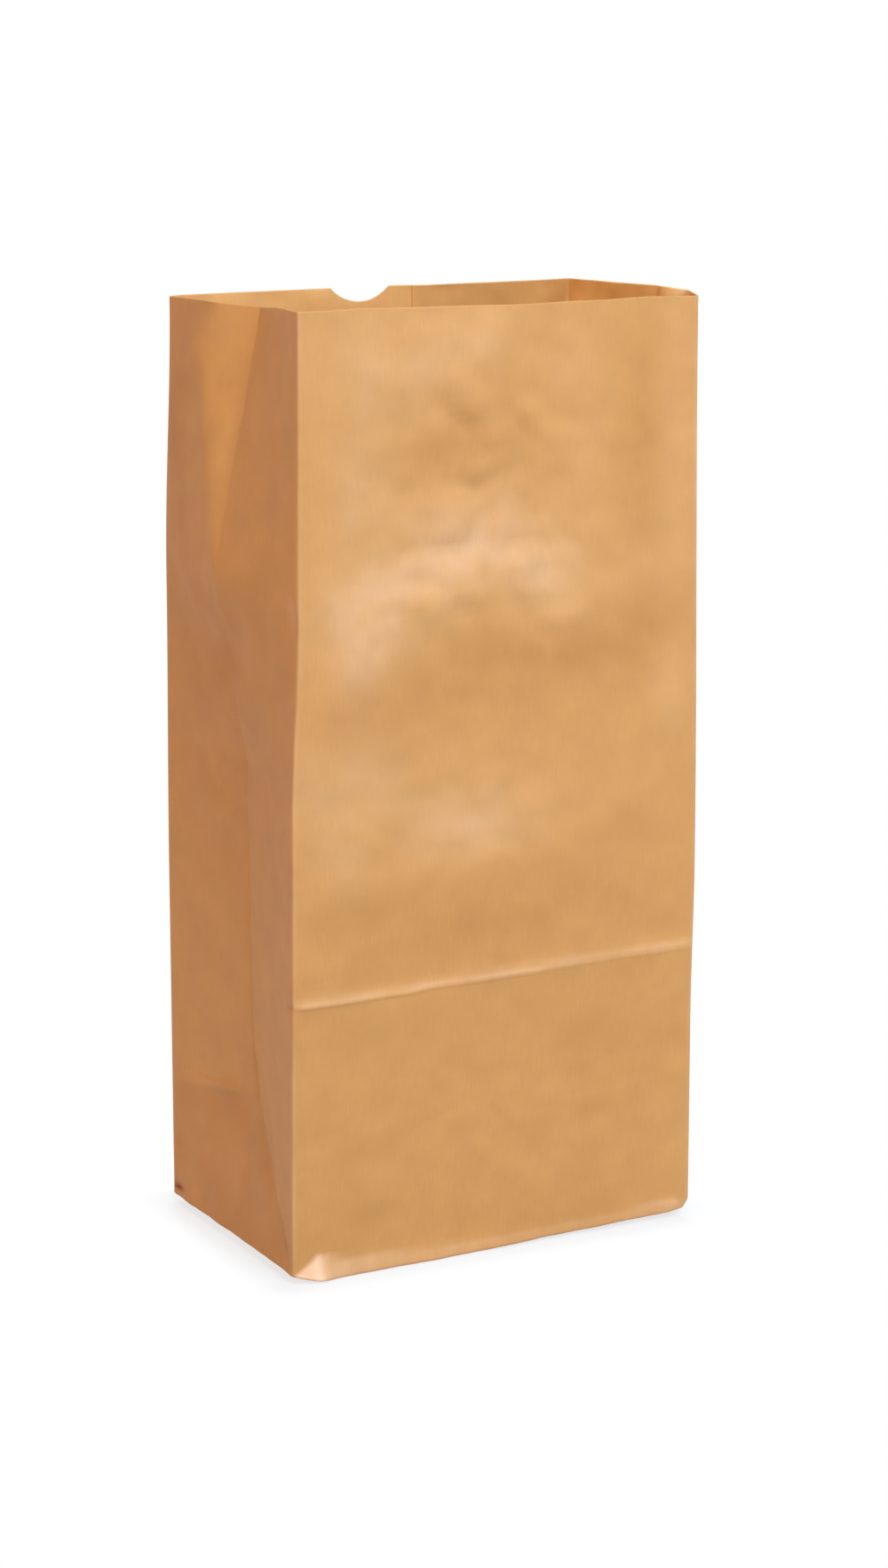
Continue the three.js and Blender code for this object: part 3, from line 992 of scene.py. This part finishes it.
def floor_material():
    """White to the camera apart from the bag's soft shadow, and plain grey to the light that it returns. Near
    the base's outline the camera sees a share of grey-blue diffuse, which shows the real shadow and adds a
    painted contact shadow.
    """
    material = bpy.data.materials.new("floor")
    material.use_nodes = True
    tree = Nodes(material.node_tree)
    tree.nodes.clear()
    grey = tree.add("ShaderNodeBsdfDiffuse", Color=(*FLOOR_GREY, 1)).outputs[0]
    shadowed = tree.add("ShaderNodeBsdfDiffuse", Color=(*SHADOW_GREY, 1)).outputs[0]
    glow = tree.add("ShaderNodeEmission", Color=(*WHITE, 1), Strength=1.0).outputs[0]

    # A painted contact shadow: the share of diffuse fades out with distance from the base's outline
    place = tree.add("ShaderNodeNewGeometry").outputs["Position"]
    from_middle = tree.vector("MULTIPLY", tree.vector("ABSOLUTE", place), (1, 1, 0))
    base_corner = (WIDTH / 2 * MM, HALF_DEPTH * MM, 0)
    outside = tree.vector("MAXIMUM", tree.vector("SUBTRACT", from_middle, base_corner), (0, 0, 0))
    away = tree.vector("LENGTH", outside)
    near = tree.add("ShaderNodeMapRange", Value=away, From_Max=SHADOW_REACH, To_Min=FLOOR_SHADOW, To_Max=0.0)
    near.interpolation_type = "SMOOTHERSTEP"

    seen = tree.mix(near.outputs["Result"], glow, shadowed)
    output = tree.add("ShaderNodeOutputMaterial")
    tree.put(output.inputs["Surface"], tree.mix(seen_white(tree), grey, seen))
    return material


def floor():
    """A wide level square under the bag."""
    mesh = bpy.data.meshes.new("floor")
    corners = [(-1, -1), (1, -1), (1, 1), (-1, 1)]
    mesh.from_pydata([(x * FLOOR_HALF, y * FLOOR_HALF, 0) for x, y in corners], [], [(0, 1, 2, 3)])
    mesh.materials.append(floor_material())
    plane = bpy.data.objects.new("floor", mesh)
    bpy.context.scene.collection.objects.link(plane)


def softbox(name, azimuth, elevation, size, watts, colour):
    """A lamp of a width and a height that faces the bag's middle from a direction."""
    data = bpy.data.lights.new(name, "AREA")
    data.shape = "RECTANGLE"
    data.size, data.size_y = size
    data.energy = watts
    data.color = colour
    direction = towards(azimuth, elevation)
    lamp = bpy.data.objects.new(name, data)
    lamp.location = Vector(LAMP_AIM) + direction * LAMP_DISTANCE
    lamp.rotation_euler = direction.to_track_quat("Z", "Y").to_euler()
    bpy.context.scene.collection.objects.link(lamp)


def world():
    """White to the camera, and a low even light to the bag."""
    scene_world = bpy.data.worlds.new("studio")
    scene_world.use_nodes = True
    bpy.context.scene.world = scene_world
    tree = Nodes(scene_world.node_tree)
    even = tree.nodes["Background"]
    even.inputs["Color"].default_value = (*EVEN_COLOUR, 1)
    even.inputs["Strength"].default_value = EVEN_LIGHT
    white = tree.add("ShaderNodeBackground", Color=(*WHITE, 1))
    surface = tree.mix(seen_white(tree), even.outputs[0], white.outputs[0])
    tree.put(tree.nodes["World Output"].inputs["Surface"], surface)


bpy.context.scene.view_settings.view_transform = "Standard"
camera()
floor()
for lamp_settings in LAMPS:
    softbox(*lamp_settings)
world()
bag()
